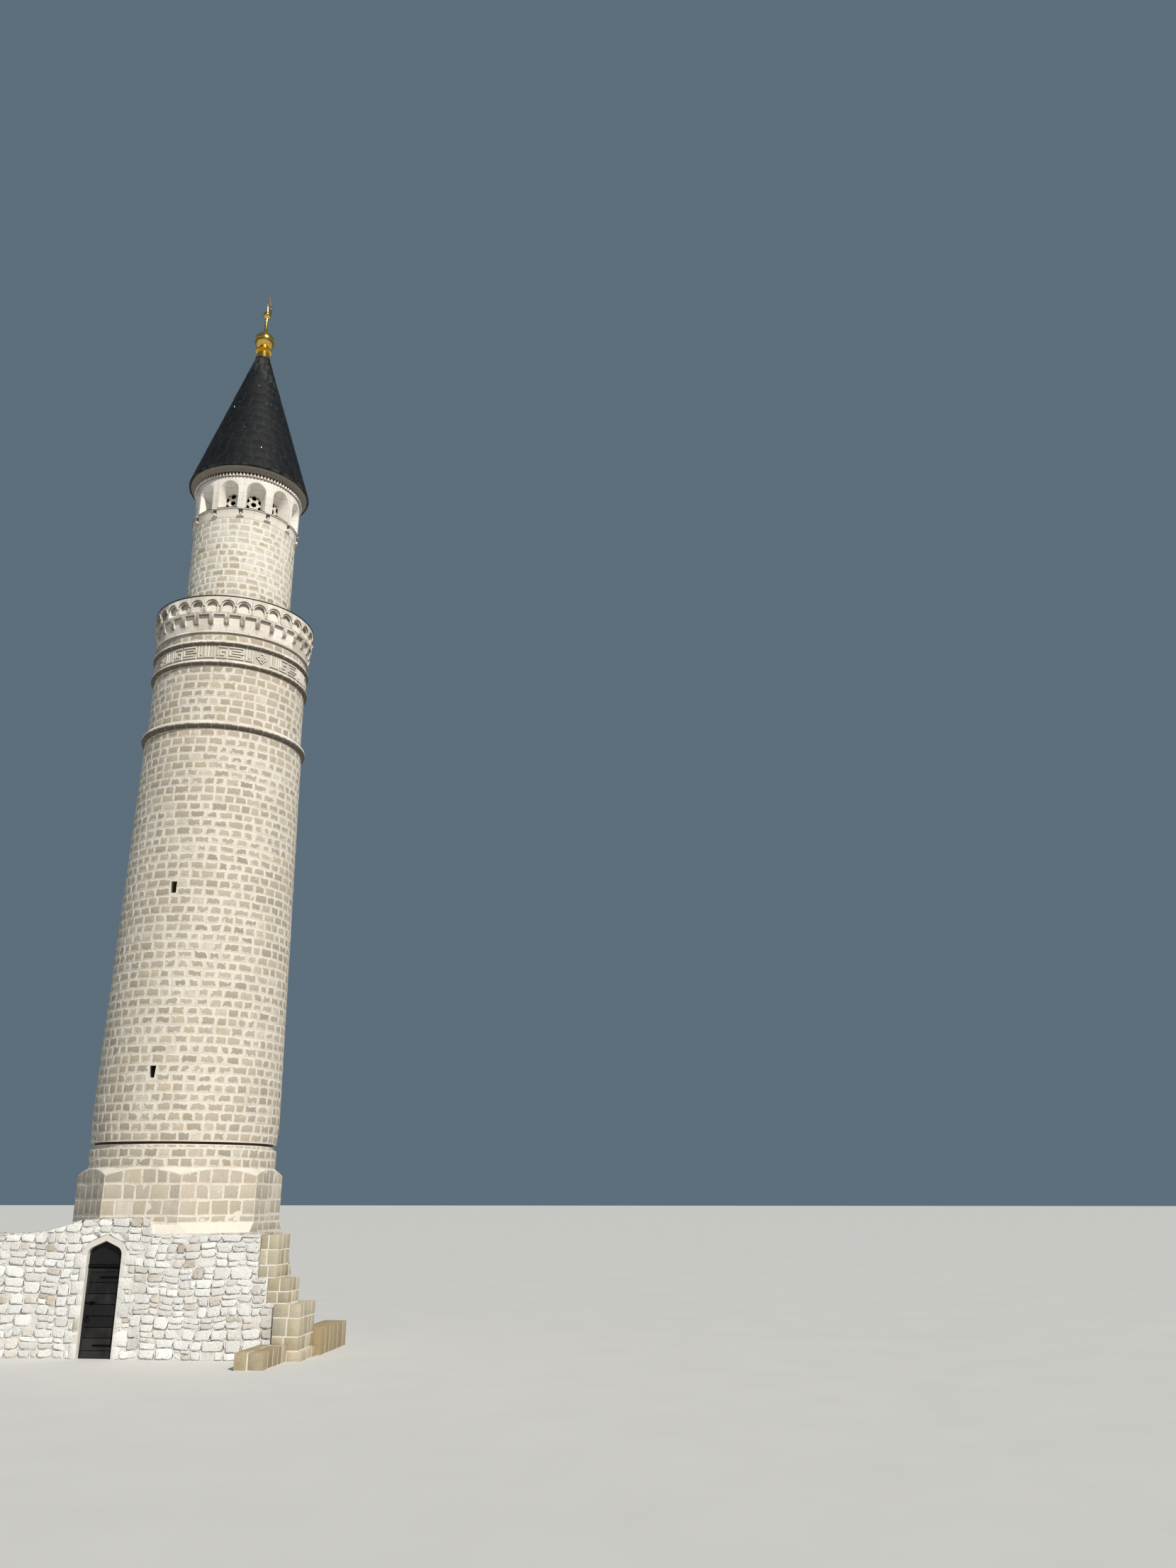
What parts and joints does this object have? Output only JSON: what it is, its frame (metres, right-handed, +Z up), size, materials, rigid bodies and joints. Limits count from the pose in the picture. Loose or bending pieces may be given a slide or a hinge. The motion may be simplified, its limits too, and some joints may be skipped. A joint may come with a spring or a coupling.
{
  "type": "minaret",
  "caption": "Tall stone minaret: square and octagonal base, tapering round shaft, corbelled balcony, arcaded lantern, dark cone roof, gilt crescent finial and an iron-clad door that opens.",
  "frame": {"origin": "on the tower's axis at ground level, on the underside of the ground floor", "axes": "+Z up along the tower's axis, -Y out of the front wall that holds the door, +X to the right as one faces the door"},
  "size_m": [7.71, 6.341, 31.173],
  "materials": {
    "limewashed_rubble": "rough limewashed rubble",
    "beige_ashlar": "weathered squared limestone with wide pale joints",
    "tan_ashlar": "sawn ochre limestone",
    "white_stone": "smooth dressed white stone",
    "stone_flags": "worn flags",
    "dark_iron": "black painted sheet iron",
    "dark_roof_metal": "dark coated sheet metal",
    "gilded_metal": "polished gilding"
  },
  "bodies": {
    "root": {"front_wall_west": "limewashed_rubble", "front_wall_east": "limewashed_rubble", "front_wall_lintel": "limewashed_rubble", "rubble_crest": "limewashed_rubble", "base_wall_west": "beige_ashlar", "base_wall_east": "beige_ashlar", "base_wall_back": "beige_ashlar", "octagon_front": "beige_ashlar", "octagon_east": "beige_ashlar", "octagon_back": "beige_ashlar", "octagon_west": "beige_ashlar", "drum_course": "beige_ashlar", "groove_course": "beige_ashlar", "shaft_front": "beige_ashlar", "shaft_east": "beige_ashlar", "shaft_back": "beige_ashlar", "shaft_west": "beige_ashlar", "string_course": "beige_ashlar", "neck_front": "beige_ashlar", "neck_east": "beige_ashlar", "neck_back": "beige_ashlar", "neck_west": "beige_ashlar", "frieze_ring_lower": "beige_ashlar", "frieze_band": "beige_ashlar", "frieze_ring_upper": "beige_ashlar", "plain_course": "beige_ashlar", "corbel_table": "beige_ashlar", "corner_quoin": "tan_ashlar", "middle_step": "tan_ashlar", "lower_step": "tan_ashlar", "low_side_wall": "tan_ashlar", "front_bench": "tan_ashlar", "door_surround": "white_stone", "upper_drum": "white_stone", "lantern_sill_band": "white_stone", "lantern_arcade": "white_stone", "lantern_screens": "white_stone", "cornice": "white_stone", "chamber_floor": "stone_flags", "lantern_floor": "stone_flags", "door_tympanum": "dark_iron", "door_pintle_upper": "dark_iron", "door_pintle_lower": "dark_iron", "balcony_deck": "dark_roof_metal", "roof_eave": "dark_roof_metal", "roof_cone": "dark_roof_metal", "finial_collar": "gilded_metal", "finial_ball": "gilded_metal", "finial_stem": "gilded_metal", "finial_crescent": "gilded_metal"},
    "door": {"door_leaf": "dark_iron", "door_strap_upper": "dark_iron", "door_strap_lower": "dark_iron", "door_latch": "dark_iron", "door_ring": "dark_iron"}
  },
  "joints": [
    {"name": "door_hinge", "type": "hinge", "parent": "root", "child": "door", "pos_m": [-0.266, -2.349, 1], "axis": [0, 0, 1], "range_deg": [0, 90]}
  ]
}
